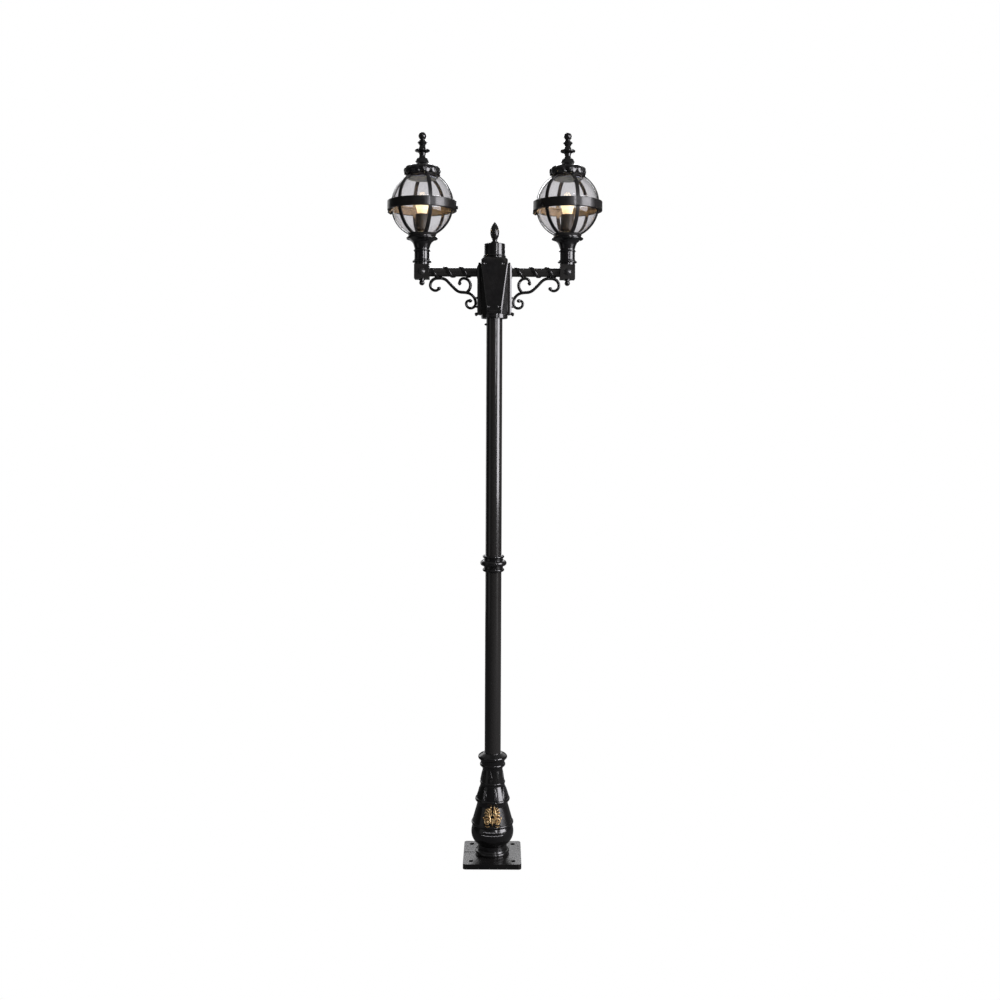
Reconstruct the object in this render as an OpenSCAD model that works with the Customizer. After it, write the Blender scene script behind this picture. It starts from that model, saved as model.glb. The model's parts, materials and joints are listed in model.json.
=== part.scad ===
// Twin-head globe lamp post: a cast pedestal on a square plate, a two-part column,
// a head casing with two scrolled arms, and a ribbed globe lantern on each arm.
// Millimetres, +Z up. The origin is on the ground under the column's axis.
// The front faces -Y and the arms run along X.

/* [Base plate] */
// Side of the square plate
plate_w = 270; // [250:1:300]
// Thickness of the plate
plate_t = 24; // [20:1:28]
// Radius of the plate's upright corners
plate_corner = 14; // [6:1:24]
// Distance between neighbouring foundation bolt holes
bolt_spacing = 195; // [190:1:205]
// Diameter of the foundation bolt holes
bolt_hole_d = 22; // [18:1:24]
// Diameter of the cable entry in the middle of the plate
cable_entry_d = 80; // [60:1:90]

/* [Service door] */
// Width of the door leaf
door_w = 75; // [73:0.5:76]
// Height of the door leaf
door_h = 143; // [138:1:145]

/* [Column] */
// Outside diameter of the column tube
tube_d = 76.1; // [75:0.1:76.6]
// Wall of the column tube
tube_wall = 4; // [3.6:0.1:4]
// Height of the middle of the collar
collar_z = 1391; // [1200:1:1600]

/* [Head] */
// Width and depth of the head casing
head_w = 124; // [122:1:128]
// Height of the casing's lower edge
head_z = 2562; // [2550:1:2566]
// Height of the casing's body
head_h = 267; // [264:1:272]
// Height of the flame bud above the casing
bud_h = 171; // [166:1:180]

/* [Arms] */
// Distance from the column's axis to a lantern's axis
arm_reach = 343; // [330:1:360]
// Height of the arms' axis
arm_z = 2762; // [2758:1:2766]
// Outside diameter of the arm tube
arm_d = 42.4; // [40:0.1:43]
// Wall of the arm tube
arm_wall = 3; // [2.5:0.1:3.5]
// Side of the square end block
block_w = 70; // [66:1:74]
// Length of one turn of the ribbon round the arm
ribbon_pitch = 73; // [66:1:80]
// How far the ribbon stands above the arm tube
ribbon_h = 5.5; // [3:0.5:7]
// Thickness of the scroll's bar, seen from the front
scroll_t = 13; // [8:0.5:13.5]
// Depth of the scroll's bar, front to back
scroll_d = 14; // [10:1:20]

/* [Lanterns] */
// Outer radius of the ribbed cage
cage_r = 150; // [149.8:0.1:150.2]
// Height of the middle of the equatorial band
band_z = 3073; // [3072.5:0.1:3073.5]
// Height of the equatorial band
band_h = 43; // [42:0.5:44]
// Radial thickness of the equatorial band
band_t = 13; // [11:0.5:14]
// Number of ribs round the globe
rib_count = 6; // [6:2:8]
// Width of a rib
rib_w = 17; // [10:0.5:18]
// Thickness of a rib
rib_t = 5.5; // [4:0.25:5.5]
// Thickness of the glass
glass_t = 3; // [2.5:0.25:3.5]
// Number of lobes round the crown
crown_lobes = 16; // [14:1:18]
// How far the left lantern is turned on its stem
left_turn = -11; // [-20:0.5:20]
// How far the right lantern is turned on its stem
right_turn = -14.5; // [-20:0.5:20]

/* [Hidden] */
$fn = 64;

LEFT = -1;
RIGHT = 1;
// Overlap that makes a cut break cleanly through a face
eps = 1;
// Radial clearance of a pin in its knuckle, and of a part in its seat
pin_gap = 0.05;
seat_gap = 0.25;
// Gap between curved faces of pieces that move past each other
move_gap = 0.5;

// Pedestal heights, from the foot up
foot_z = 35;
bulge_z = 129;
bead1_z = 172;
bead2_z = 281;
bead3_z = 360;
neck_z = 421;
ring_z = 443;
top_torus_z = 478;
pedestal_top = 497;
socket_z = 398;

tube_r = tube_d / 2;
tube_bore_r = tube_r - tube_wall;
spigot_r = tube_bore_r - seat_gap;
spigot_wall = 4;
spigot_h = 200;
column_top = head_z + 38;
column_cable_r = 6;
column_cable_y = 18;

// Service door at the back of the pedestal, hinged on an upright axis
door_face_y = 102;
door_t = 5;
door_z = 100.5;
door_right_x = 37.2;
door_gap = 0.5;
door_opening_w = 68;
door_opening_z = 106;
door_opening_h = 132;
boss_w = 104;
door_axis = [-44, 105];
knuckle_r = 5;
knuckle_h = 14;
door_pin_r = 3;
door_hinges_z = [118, 212];
lock_x = 23;
lock_z = 172;
lock_r = 8;
cam_reach = 18;
cam_y = 88;
cam_t = 3.5;

head_half = head_w / 2;
head_top = head_z + head_h;
head_wall = 6;
rim_r = 61.5;
rim_h = 18;
facet_start_z = head_top - 37;
facet_end_z = head_z + 13;
facet_width = 29;
cover_t = 7;
// Bevel round the casing's top edge
top_bevel = 13;
backplate_t = 19;
backplate_h = head_h - 25;
backplate_half = 34;
backplate_bolt_y = 19;
backplate_bolt_z = [head_z + 52, head_z + 140];
// Depth of the counterbores for the backplate bolts
bolt_sink = 6;
cap_r = 49.7;
cap_h = 53;
cap_z = head_top + 14;
bud_tip = head_top + bud_h;

arm_r = arm_d / 2;
arm_start = head_half - 4;
block_z0 = arm_z - 33;
block_z1 = arm_z + 35;
arm_end = arm_reach - 13;
lamp_cable_r = 4;
cable_bend = 30;
ribbon_half_w = 9;
// Arcs of the scroll's three bars, each [radius, turn]
s_arcs = [[48, 48], [600, -5], [48, -40], [300, 4], [50, 83], [23.5, 90], [21.5, 90], [14, 130]];
outer_arcs = [[500, -3], [33, -87], [25, -90], [17, -80]];
inner_arcs = [[43, -61], [32, -90], [19, -90], [14, -35]];

// Lantern heights, from the end block up
stem_z = block_z1;
flange_z = stem_z + 14;
stem_bead_z = stem_z + 66;
bowl_flange_z = stem_z + 124;
cage_z = 2930;
band_low = band_z - band_h / 2;
band_top = band_z + band_h / 2;
dome_z = band_z + 14;
bowl_z = band_z + 2;
ring_top_z = band_z - 1;
lid_split_z = band_z + 0.6;
crown_z = 3221;
glass_r = cage_r - rib_t - 1.5;
band_bore_r = cage_r + 1;
band_r = band_bore_r + band_t;
lid_axis_x = -159;
lid_axis_z = band_low - 5.5;
lid_pin_r = 2.5;
lid_knuckle_w = 12;
catch_z = band_z - 12;
catch_r = 4;
stem_bore_r = 15;

// ---------- shared shapes ----------

// A turned solid from a list of [radius, height] points
module turned(outline) rotate_extrude() polygon(outline);

// A ring of round section, for the 2D outline of a turned solid: widest radius, height, size
module bead(widest, z, size) intersection() {
    translate([widest - size, z]) circle(size);
    translate([0, z - size]) square([widest, 2 * size]);
}

// Square plate with rounded upright corners
module rounded_plate(w, corner, h) {
    inner = w - 2 * corner;
    translate([-w / 2, -inner / 2, 0]) cube([w, inner, h]);
    translate([-inner / 2, -w / 2, 0]) cube([inner, w, h]);
    for (x = [-1, 1], y = [-1, 1])
        translate([x * inner / 2, y * inner / 2, 0]) cylinder(r = corner, h = h);
}

// Turns a part drawn along Z so that it points along +Y, -Y or +X
module along_y() rotate([-90, 0, 0]) children();
module along_minus_y() rotate([90, 0, 0]) children();
module along_x() rotate([0, 90, 0]) children();

// Extrudes an outline given as [y, z] points along X, centred
module profile_along_x(width, outline)
    translate([-width / 2, 0, 0]) rotate([90, 0, 90]) linear_extrude(width) polygon(outline);

// Extrudes an outline given as [x, z] points along Y, centred
module profile_along_y(depth)
    translate([0, depth / 2, 0]) rotate([90, 0, 0]) linear_extrude(depth) children();

// Places a lantern part on its arm, turned with its lantern
module on_arm(side)
    translate([side * arm_reach, 0, 0])
        rotate([0, 0, side == LEFT ? left_turn : right_turn]) children();

// Mirrors a part drawn for the right arm onto the left arm
module mirrored(side) if (side == LEFT) mirror([1, 0, 0]) children(); else children();

// A dome-headed screw along +Z: the head's flat side is at the origin
module dome_head(r, h) {
    ball = (r * r + h * h) / (2 * h);
    intersection() {
        translate([0, 0, h - ball]) sphere(ball);
        cylinder(r = r + eps, h = h + eps);
    }
}

// ---------- base ----------

module base_plate() color("#2a2a2d") difference() {
    rounded_plate(plate_w, plate_corner, plate_t);
    for (x = [-1, 1], y = [-1, 1])
        translate([x * bolt_spacing / 2, y * bolt_spacing / 2, -eps])
            cylinder(d = bolt_hole_d, h = plate_t + 2 * eps);
    translate([0, 0, -eps]) cylinder(d = cable_entry_d, h = plate_t + 2 * eps);
}

module pedestal_outline() {
    polygon([[0, plate_t], [76, plate_t], [76, foot_z + 5], [69, foot_z + 15], [69, 73],
        [90, 165], [95, 178], [72.5, 256], [70, bead2_z], [77, bead2_z + 6], [57, 348],
        [56, 367], [46.7, neck_z], [52, ring_z - 6], [56, ring_z + 7], [57, top_torus_z - 10],
        [62, top_torus_z + 10], [45, pedestal_top], [0, pedestal_top]]);
    bead(80, foot_z, 10);
    bead(99.3, bulge_z, 70);
    bead(99, bead1_z, 8);
    bead(81.5, bead2_z, 9);
    bead(59.5, bead3_z, 6.5);
    bead(60, ring_z, 8.5);
    bead(68.4, top_torus_z, 10);
}

module pedestal_cavity() turned([[0, plate_t - eps], [60, plate_t - eps], [60, 76], [86, 112],
    [88, 150], [84, 184], [62, 256], [68, bead2_z], [47, 350], [42, 384], [33.5, 391],
    [33.5, socket_z], [tube_r + seat_gap, socket_z], [tube_r + seat_gap, pedestal_top + eps],
    [0, pedestal_top + eps]]);

module base_pedestal() color("#1c1c1f") difference() {
    union() {
        difference() {
            union() {
                rotate_extrude() pedestal_outline();
                // Flat-faced boss that frames the door
                profile_along_x(boss_w, [[40, 84], [82, 84], [door_face_y, 94],
                    [door_face_y, 252], [70, bead2_z + 5], [40, bead2_z + 5]]);
            }
            pedestal_cavity();
        }
        // Web that carries the service board
        profile_along_x(10, [[-8, 130], [-90, 130], [-89, 180], [-68, 240], [-8, 240]]);
        for (z = door_hinges_z, end = [-1, 1])
            translate([door_axis.x, door_axis.y, z + end * (knuckle_h / 2 + 0.4 + 4) - 4])
                frame_knuckle(8);
    }
    // Way in, and the rebate that the leaf lies in
    translate([-door_opening_w / 2, 20, door_opening_z])
        cube([door_opening_w, 100, door_opening_h]);
    translate([door_right_x + 0.8 - (door_w + 1.3), door_face_y - door_t - 0.3, door_z - door_gap])
        cube([door_w + 1.3, 20, door_h + 2 * door_gap]);
    // Pocket for the lock's cam behind the frame
    translate([lock_x, cam_y - 2, lock_z - 8]) cube([cam_reach + 4, 7, 2 * cam_reach - 8]);
    for (z = door_hinges_z)
        translate([door_axis.x, door_axis.y, z - knuckle_h / 2 - 0.4])
            cylinder(r = knuckle_r + move_gap, h = knuckle_h + 0.8);
    for (z = door_hinges_z)
        translate([door_axis.x, door_axis.y, z - 20])
            cylinder(r = door_pin_r + pin_gap, h = 40);
    // Room for the heads of the hinge pins
    for (z = door_hinges_z)
        translate([door_axis.x, door_axis.y, z + knuckle_h / 2 + 9])
            cylinder(r = knuckle_r, h = 4);
}

// One fixed knuckle of a door hinge, standing on its own lower face
module frame_knuckle(h) {
    cylinder(r = knuckle_r, h = h);
    translate([-knuckle_r + 0.5, -6, 0]) cube([2 * knuckle_r - 1, 6, h]);
}

// Shell that hugs the front of the lower cone, cut to a leaf spray's outline
module crest_ornament() color("#c9a55a") difference() {
    intersection() {
        translate([0, 0, 179]) cylinder(r1 = 101, r2 = 78, h = 87);
        translate([0, -60, 0]) profile_along_y(100) crest_outline();
    }
    difference() {
        rotate_extrude() pedestal_outline();
        translate([-200, -30, -eps]) cube([400, 400, 600]);
    }
    translate([-200, -50, 0]) cube([400, 400, 600]);
}

module crest_outline() {
    translate([0, 210]) circle(26);
    for (side = [-1, 1]) {
        translate([side * 25, 196]) circle(15);
        translate([side * 20, 228]) circle(14);
        translate([side * 10, 250]) circle(11);
    }
    translate([-12, 181]) square([24, 20]);
    translate([-8, 230]) square([16, 33]);
}

module access_door() color("#202023") {
    left_x = door_right_x - door_w;
    difference() {
        union() {
            translate([left_x, door_face_y - door_t, door_z]) cube([door_w, door_t, door_h]);
            for (z = door_hinges_z) door_strap(z);
            // Raised field on the outer face
            translate([left_x + 24, door_face_y - 1, door_z + 14]) cube([door_w - 32, 2.5, 44]);
            translate([left_x + 24, door_face_y - 1, door_z + door_h - 48])
                cube([door_w - 32, 2.5, 34]);
        }
        translate([lock_x, door_face_y - door_t - eps, lock_z])
            along_y() cylinder(r = lock_r + pin_gap, h = door_t + 2 * eps + 3);
        for (z = door_hinges_z)
            translate([door_axis.x, door_axis.y, z - knuckle_h])
                cylinder(r = door_pin_r + pin_gap, h = 2 * knuckle_h);
    }
}

// Moving knuckle of a hinge and the strap that joins it to the leaf
module door_strap(z) translate([door_axis.x, door_axis.y, z - knuckle_h / 2]) {
    strap_y = door_face_y + 0.4 - door_axis.y;
    cylinder(r = knuckle_r, h = knuckle_h);
    translate([0, strap_y, 0]) cube([8, 3.6, knuckle_h]);
    translate([7, strap_y - 1.4, 0]) cube([18, 5, knuckle_h]);
}

module door_hinge_pins() color("#8a8a8c")
    for (z = door_hinges_z)
        translate([door_axis.x, door_axis.y, z - knuckle_h / 2 - 9]) {
            cylinder(r = door_pin_r, h = knuckle_h + 18);
            translate([0, 0, knuckle_h + 18]) cylinder(r = door_pin_r + 1.2, h = 2);
        }

// Quarter-turn lock, drawn released: its cam stands upright inside the opening
module door_lock() color("#6d6d70") translate([lock_x, 0, lock_z]) {
    difference() {
        union() {
            translate([0, cam_y, 0]) along_y() cylinder(r = lock_r, h = door_face_y + 3 - cam_y);
            translate([0, door_face_y + 0.3, 0]) along_y() cylinder(r = lock_r + 3, h = 3.5);
        }
        translate([0, door_face_y - 4, 0]) along_y() cylinder(r = 5, h = 20, $fn = 3);
    }
    translate([-6, cam_y, 0]) cube([12, cam_t, cam_reach]);
}

module service_board() color("#7a5a3c") translate([-30, -8, 118]) cube([60, 8, 130]);

module fused_cutout() color("#3a3a3c") {
    difference() {
        translate([-22, 0, 150]) cube([44, 36, 80]);
        // Recess round the fuse carrier
        translate([-14, 30, 162]) cube([28, 10, 40]);
    }
    translate([-11, 26, 166]) cube([22, 14, 32]);
    translate([0, column_cable_y, 229]) difference() {
        cylinder(r = 10, h = 14);
        translate([0, 0, 8]) cylinder(r = column_cable_r + seat_gap, h = 10);
    }
}

module earth_stud() color("#b5954a") translate([-44.5, 23.5, plate_t]) {
    cylinder(r = 4, h = 26);
    cylinder(r = 8, h = 2);
    translate([0, 0, 2]) cylinder(r = 7.5, h = 6.5, $fn = 6);
}

module column_cable() color("#181818")
    translate([0, column_cable_y, 237.5])
        cylinder(r = column_cable_r, h = column_top + 30 - 237.5);

// ---------- column ----------

module column_tube(z0, z1) translate([0, 0, z0]) difference() {
    cylinder(r = tube_r, h = z1 - z0);
    translate([0, 0, -eps]) cylinder(r = tube_bore_r, h = z1 - z0 + 2 * eps);
}

module lower_tube() color("#1d1d20") column_tube(socket_z, collar_z - 0.5);

module upper_tube() color("#1d1d20") difference() {
    column_tube(collar_z + 0.5, column_top);
    translate([0, 0, fixing_z()]) rotate([0, -90, 0]) cylinder(r = 4 + pin_gap, h = 60);
}

module joint_spigot() color("#77777a") turned([
    [spigot_r - spigot_wall, collar_z - spigot_h / 2], [spigot_r, collar_z - spigot_h / 2],
    [spigot_r, collar_z + spigot_h / 2], [spigot_r - spigot_wall, collar_z + spigot_h / 2]]);

module column_collar() color("#1c1c1f") difference() {
    rotate_extrude() {
        translate([0, collar_z - 40]) square([45.5, 70]);
        bead(62, collar_z, 13);
        bead(51.3, collar_z - 32, 7);
        bead(51, collar_z + 30, 6);
    }
    translate([0, 0, collar_z - 60]) cylinder(r = tube_r + seat_gap, h = 120);
}

function fixing_z() = head_z - 46;

module head_fixing_screw() color("#2a2a2d") translate([-tube_r, 0, fixing_z()])
    rotate([0, -90, 0]) {
        cylinder(r1 = 7, r2 = 2, h = 9);
        translate([0, 0, -tube_wall - 4]) cylinder(r = 4, h = tube_wall + 4);
    }

// ---------- head ----------

// Outside of the casing: a box whose upright corners are cut by planes that lean inwards
module casing_body() {
    lean = atan2(facet_width * sqrt(0.5), facet_start_z - facet_end_z);
    difference() {
        translate([-head_half, -head_half, head_z]) cube([head_w, head_w, head_h]);
        for (a = [45:90:315]) rotate([0, 0, a])
            translate([head_half * sqrt(2), 0, facet_start_z]) rotate([0, lean, 0])
                translate([0, -50, -400]) cube([50, 100, 400]);
        for (a = [0:90:270]) rotate([0, 0, a])
            translate([head_half - top_bevel, -100, head_top]) rotate([0, -45, 0])
                translate([0, 0, -50]) cube([20, 200, 100]);
    }
    translate([0, 0, head_z - rim_h]) cylinder(r = rim_r, h = rim_h);
    translate([0, 0, head_z - rim_h + 5]) cylinder(r = rim_r + 1.5, h = 6);
    translate([0, 0, head_top - eps]) cylinder(r = 50, h = cap_z - head_top - 10);
}

module head_casing() color("#1a1a1c") difference() {
    casing_body();
    inner = head_half - head_wall;
    difference() {
        translate([-inner, -inner, head_z + 8]) cube([2 * inner, 2 * inner, head_h - 26]);
        // Corner posts behind the facets, and the hub round the column
        for (x = [-1, 1], y = [-1, 1])
            translate([x * inner - 26, y * inner - 26, head_z]) cube([52, 52, head_h]);
        translate([0, 0, head_z]) cylinder(r = tube_r + 9, h = 38);
    }
    // Openings behind the two covers
    translate([-26, -80, head_z + 44]) cube([52, 160, head_h - 66]);
    translate([0, 0, head_z - rim_h - eps]) cylinder(r = tube_r + seat_gap, h = rim_h + 38 + 3);
    translate([0, 0, head_top - 20]) cylinder(r = 40, h = 60);
    translate([-100, 0, arm_z]) along_x() cylinder(r = arm_r + seat_gap, h = 200);
    for (side = [0, 180]) rotate([0, 0, side]) cover_screw_places() translate([0, 0, -7.5])
        cylinder(r = 2.5 + pin_gap, h = 20);
}

// Shield outline of a cover, [x, z]
module cover_outline() {
    bottom = head_z + 10;
    corner = 12;
    low = 33;
    polygon([[-low + corner, bottom], [low - corner, bottom], [low + 0.5, bottom + corner],
        [head_half - 0.5, facet_start_z], [50, head_top - 22], [36, head_top - 7],
        [-36, head_top - 7], [-50, head_top - 22], [-head_half + 0.5, facet_start_z],
        [-low - 0.5, bottom + corner]]);
    for (side = [-1, 1])
        translate([side * (low - corner + 0.2), bottom + corner]) circle(corner);
}

module cover() difference() {
    translate([0, -head_half - cover_t / 2, 0]) profile_along_y(cover_t) cover_outline();
    cover_screw_places() translate([0, 0, -eps]) cylinder(r = 2.5 + pin_gap, h = cover_t + 2 * eps);
    cover_screw_places() translate([0, 0, cover_t - 2.2]) cylinder(r = 4.6, h = 5);
}

// The four screws of one cover: origin on the casing's face, +Z outwards
module cover_screw_places()
    for (place = [[-24, head_z + 32], [24, head_z + 32], [-42, head_top - 34], [42, head_top - 34]])
        translate([place.x, -head_half, place.y]) along_minus_y() children();

module front_cover() color("#19191b") cover();

module rear_cover() color("#19191b") rotate([0, 0, 180]) cover();

module cover_screws() color("#3a3a3c")
    for (side = [0, 180]) rotate([0, 0, side]) cover_screw_places() {
        translate([0, 0, cover_t - 2.2]) dome_head(4.4, 2);
        translate([0, 0, -6.5]) cylinder(r = 2.5, h = cover_t + 5);
    }

module head_cap() color("#1a1a1c") difference() {
    rotate_extrude() {
        translate([0, cap_z - 10]) square([51, 10]);
        translate([0, cap_z - eps]) square([cap_r, cap_h + eps - 3]);
        translate([0, cap_z]) square([cap_r - 3, cap_h]);
        bead(cap_r, cap_z + cap_h - 3, 3);
        bead(53.5, cap_z - 5, 4);
    }
    turned([[0, cap_z - 10 - eps], [42, cap_z - 10 - eps], [42, cap_z + cap_h - 14],
        [34, cap_z + cap_h - 6], [0, cap_z + cap_h - 6]]);
    translate([0, 0, cap_z]) cylinder(r = 5 + pin_gap, h = 100);
}

module head_finial() color("#1a1a1c") {
    cap_top = cap_z + cap_h;
    widest_r = 21.5;
    widest_z = cap_top + 53;
    neck_r = 10.4;
    tip = bud_tip - widest_z;
    low = widest_z - cap_top - 20;
    // Radii of the two arcs that meet at the widest place
    tip_arc = (widest_r * widest_r + tip * tip) / (2 * widest_r);
    low_arc = ((widest_r - neck_r) * (widest_r - neck_r) + low * low) / (2 * (widest_r - neck_r));
    rotate_extrude() {
        intersection() {
            translate([widest_r - tip_arc, widest_z]) circle(tip_arc, $fn = 180);
            translate([0, widest_z]) square([50, tip]);
        }
        intersection() {
            translate([widest_r - low_arc, widest_z]) circle(low_arc, $fn = 180);
            translate([0, widest_z - low]) square([50, low]);
        }
        translate([0, cap_top]) square([neck_r, 22]);
        translate([0, cap_top]) square([17, 5]);
        bead(18.6, cap_top + 8, 4);
        bead(13.5, cap_top + 20, 3);
        translate([0, cap_top + 4]) square([14, 6]);
    }
    translate([0, 0, cap_top - 14]) cylinder(r = 5, h = 15);
}

module head_terminals() color("#3c3c3e") {
    difference() {
        union() {
            translate([0, 0, column_top]) cylinder(r = tube_r, h = 4);
            translate([-30, -12, column_top + 3]) cube([60, 40, 90 - 3]);
        }
        translate([0, column_cable_y, column_top - eps])
            cylinder(r = column_cable_r + seat_gap, h = 32);
        for (side = [-1, 1]) translate([side * 15, 0, column_top + 76])
            cylinder(r = lamp_cable_r + seat_gap, h = 20);
    }
}

module backplate(side) color("#1c1c1f") mirrored(side) difference() {
    union() {
        intersection() {
            profile_along_y(2 * backplate_half) polygon(backplate_outline());
            // Bevelled upright edges
            translate([head_half, 0, head_z - 20]) linear_extrude(head_h) polygon([
                [0, -backplate_half], [11, -backplate_half], [backplate_t, 5.5 - backplate_half],
                [backplate_t, backplate_half - 5.5], [11, backplate_half], [0, backplate_half]]);
        }
        // Flange round the arm
        translate([head_half, 0, arm_z]) along_x() cylinder(r = arm_r + 8, h = backplate_t + 2);
        for (y = [-1, 1]) translate([head_half, y * 26, head_z]) backplate_foot();
    }
    translate([0, 0, arm_z]) along_x() cylinder(r = arm_r + seat_gap, h = 200);
    backplate_bolt_places() translate([0, 0, -eps])
        cylinder(r = 4 + pin_gap, h = backplate_t + 2 * eps);
    backplate_bolt_places() translate([0, 0, backplate_t - bolt_sink]) cylinder(r = 9, h = 12);
}

// Side outline of a backplate, [x, z]: rounded at the foot and stepped at the top
function backplate_outline() = [for (p = [[0, -1], [8, -1], [14, 2], [backplate_t - 1, 8],
    [backplate_t, 16], [backplate_t, backplate_h - 20], [backplate_t - 2, backplate_h - 12],
    [14, backplate_h - 9], [14, backplate_h - 2], [12, backplate_h], [4, backplate_h],
    [2, backplate_h - 2], [2, backplate_h - 6], [0, backplate_h - 6]]) [p.x + head_half, p.y + head_z]];

// Foot at a lower corner of a backplate: a neck that ends in a roll
module backplate_foot() profile_along_y(12) {
    polygon([[12, 1], [20, -1], [26, 3], [24, 8], [18, 9], [12, 6]]);
    translate([24.5, 1.5]) circle(6.2);
}

module backplate_bolt_places()
    for (y = [-1, 1], z = backplate_bolt_z)
        translate([head_half, y * backplate_bolt_y, z]) along_x() children();

module backplate_bolts() color("#2a2a2d")
    for (side = [LEFT, RIGHT]) mirrored(side) backplate_bolt_places() {
        translate([0, 0, backplate_t - bolt_sink]) cylinder(r = 7.5, h = bolt_sink - 1, $fn = 6);
        cylinder(r = 4, h = backplate_t - bolt_sink + 1);
    }

// ---------- arms ----------

module arm_tube(side) color("#1d1d20") mirrored(side)
    translate([arm_start, 0, arm_z]) along_x() difference() {
        cylinder(r = arm_r, h = arm_end - arm_start);
        translate([0, 0, -eps]) cylinder(r = arm_r - arm_wall, h = arm_end - arm_start + 2 * eps);
    }

// Where the ribbon starts along X, and its angle from the top there
function ribbon_start(side) = side == LEFT ? -arm_reach + block_w / 2 + 2
    : head_half + backplate_t + 4;
function ribbon_phase(side) = side == LEFT ? 49 : 345;

// Distance from the column's axis to the ribbon's n-th passage under the arm, from 0
function ribbon_low(side, n) = side * (ribbon_start(side) + ribbon_half_w
    + ribbon_pitch * (n + (540 - ribbon_phase(side)) % 360 / 360));

// Ribbon wound round the arm: a low rounded section swept along a helix.
// It starts at x0 and turns from the top towards the front as x grows.
module arm_ribbon(side) {
    x0 = ribbon_start(side);
    phase = ribbon_phase(side);
    turns = 2.72;
    steps = 66;
    half_w = ribbon_half_w;
    base_r = arm_r + 0.3;
    // Section across the ribbon: [along the arm, height above the tube]
    section = [[-half_w, 0], [-half_w * 0.7, ribbon_h * 0.7], [0, ribbon_h],
        [half_w * 0.7, ribbon_h * 0.7], [half_w, 0]];
    count = len(section);
    points = [for (i = [0:steps], p = section)
        let (a = phase + 360 * turns * i / steps, r = base_r + p.y)
        [x0 + half_w + ribbon_pitch * turns * i / steps + p.x, -r * sin(a), arm_z + r * cos(a)]];
    sides = [for (i = [0:steps - 1], j = [0:count - 1])
        let (k = (j + 1) % count, a = i * count, b = a + count)
        [a + j, a + k, b + k, b + j]];
    first_end = [for (j = [count - 1:-1:0]) j];
    last_end = [for (j = [0:count - 1]) steps * count + j];
    color("#1a1a1c") polyhedron(points, concat(sides, [first_end, last_end]), convexity = 8);
}

// A path of tangent arcs. Each arc is [radius, turn in degrees], and a positive turn is to the
// left. The path is a list of [x, z, heading].
function arc_step(p, r, turn) = [
    p[0] + sign(turn) * r * (sin(p[2] + turn) - sin(p[2])),
    p[1] - sign(turn) * r * (cos(p[2] + turn) - cos(p[2])),
    p[2] + turn];

function arc_path(start, arcs, i = 0) = i == len(arcs) ? [start] :
    let (r = arcs[i][0], turn = arcs[i][1], steps = ceil(abs(turn) / 18))
    concat([for (k = [0:steps - 1]) arc_step(start, r, turn * k / steps)],
        arc_path(arc_step(start, r, turn), arcs, i + 1));

// A flat bar of width w that follows a path, with its last stretch drawn out to a point
module bar_along(path, w) {
    last = len(path) - 1;
    function half(i) = w / 2 * (0.55 + 0.45 * min(1, (last - i) / 4));
    right = [for (i = [0:last]) let (p = path[i], h = half(i))
        [p[0] + h * sin(p[2]), p[1] - h * cos(p[2])]];
    left = [for (i = [last:-1:0]) let (p = path[i], h = half(i))
        [p[0] - h * sin(p[2]), p[1] + h * cos(p[2])]];
    polygon(concat(right, left));
}

// The scroll under the right arm: an S from under the arm down to the casing, which ends in a
// curl, a second curl outwards from the top of the S, and a third that springs from its middle
module scroll(side) color("#1b1b1d") difference() {
    mirrored(side) profile_along_y(scroll_d) {
        top = [256, arm_z - arm_r - scroll_t / 2 - 0.2];
        bar_along(arc_path([top.x, top.y, 180], s_arcs), scroll_t);
        bar_along(arc_path([top.x - 10, top.y, 0], outer_arcs), scroll_t);
        bar_along(arc_path([136, top.y - 70, 151], inner_arcs), scroll_t);
        // Pads that bolt the scroll to the backplate
        for (z = [head_z + 37, head_z + 79])
            translate([head_half + backplate_t + 0.2, z - 5]) square([9, 10]);
    }
    // Notches that let the ribbon pass between the scroll and the arm
    notch_w = 2 * ribbon_half_w + 9;
    for (n = [0:2])
        translate([side * ribbon_low(side, n), 0, arm_z - arm_r - ribbon_h / 2])
            cube([notch_w, 2 * scroll_d, ribbon_h + 2.4], center = true);
}

module end_block(side) color("#1c1c1f") mirrored(side) difference() {
    translate([arm_reach - block_w / 2, -block_w / 2, block_z0])
        cube([block_w, block_w, block_z1 - block_z0]);
    translate([arm_reach - block_w, 0, arm_z]) along_x()
        cylinder(r = arm_r + seat_gap, h = arm_end - arm_reach + block_w);
    translate([arm_end - eps, 0, arm_z]) along_x() cylinder(r = stem_bore_r + 1, h = 27);
    translate([arm_reach, 0, arm_z]) cylinder(r = stem_bore_r + 1, h = 60);
    translate([arm_reach, 0, block_z0 - eps]) cylinder(r = 6 + pin_gap, h = 20);
    translate([arm_reach - 14, 0, arm_z]) along_minus_y() cylinder(r = 5 + pin_gap, h = 60);
}

module block_bolts() color("#2a2a2d")
    for (side = [LEFT, RIGHT]) translate([side * arm_reach, 0, arm_z]) {
        translate([0, -block_w / 2, 0]) along_minus_y() dome_head(17, 8);
        translate([-side * 14, -block_w / 2 - 0.5, 0]) along_y()
            cylinder(r = 5, h = block_w / 2 - arm_r);
    }

module pendant_nuts() color("#1c1c1f")
    for (side = [LEFT, RIGHT]) translate([side * arm_reach, 0, block_z0]) {
        rotate_extrude() {
            translate([0, -6]) square([14, 6]);
            translate([0, -10]) square([10, 5]);
            intersection() {
                translate([0, -17]) circle(13);
                translate([0, -40]) square([20, 40]);
            }
        }
        cylinder(r = 6, h = 12);
    }

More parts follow.
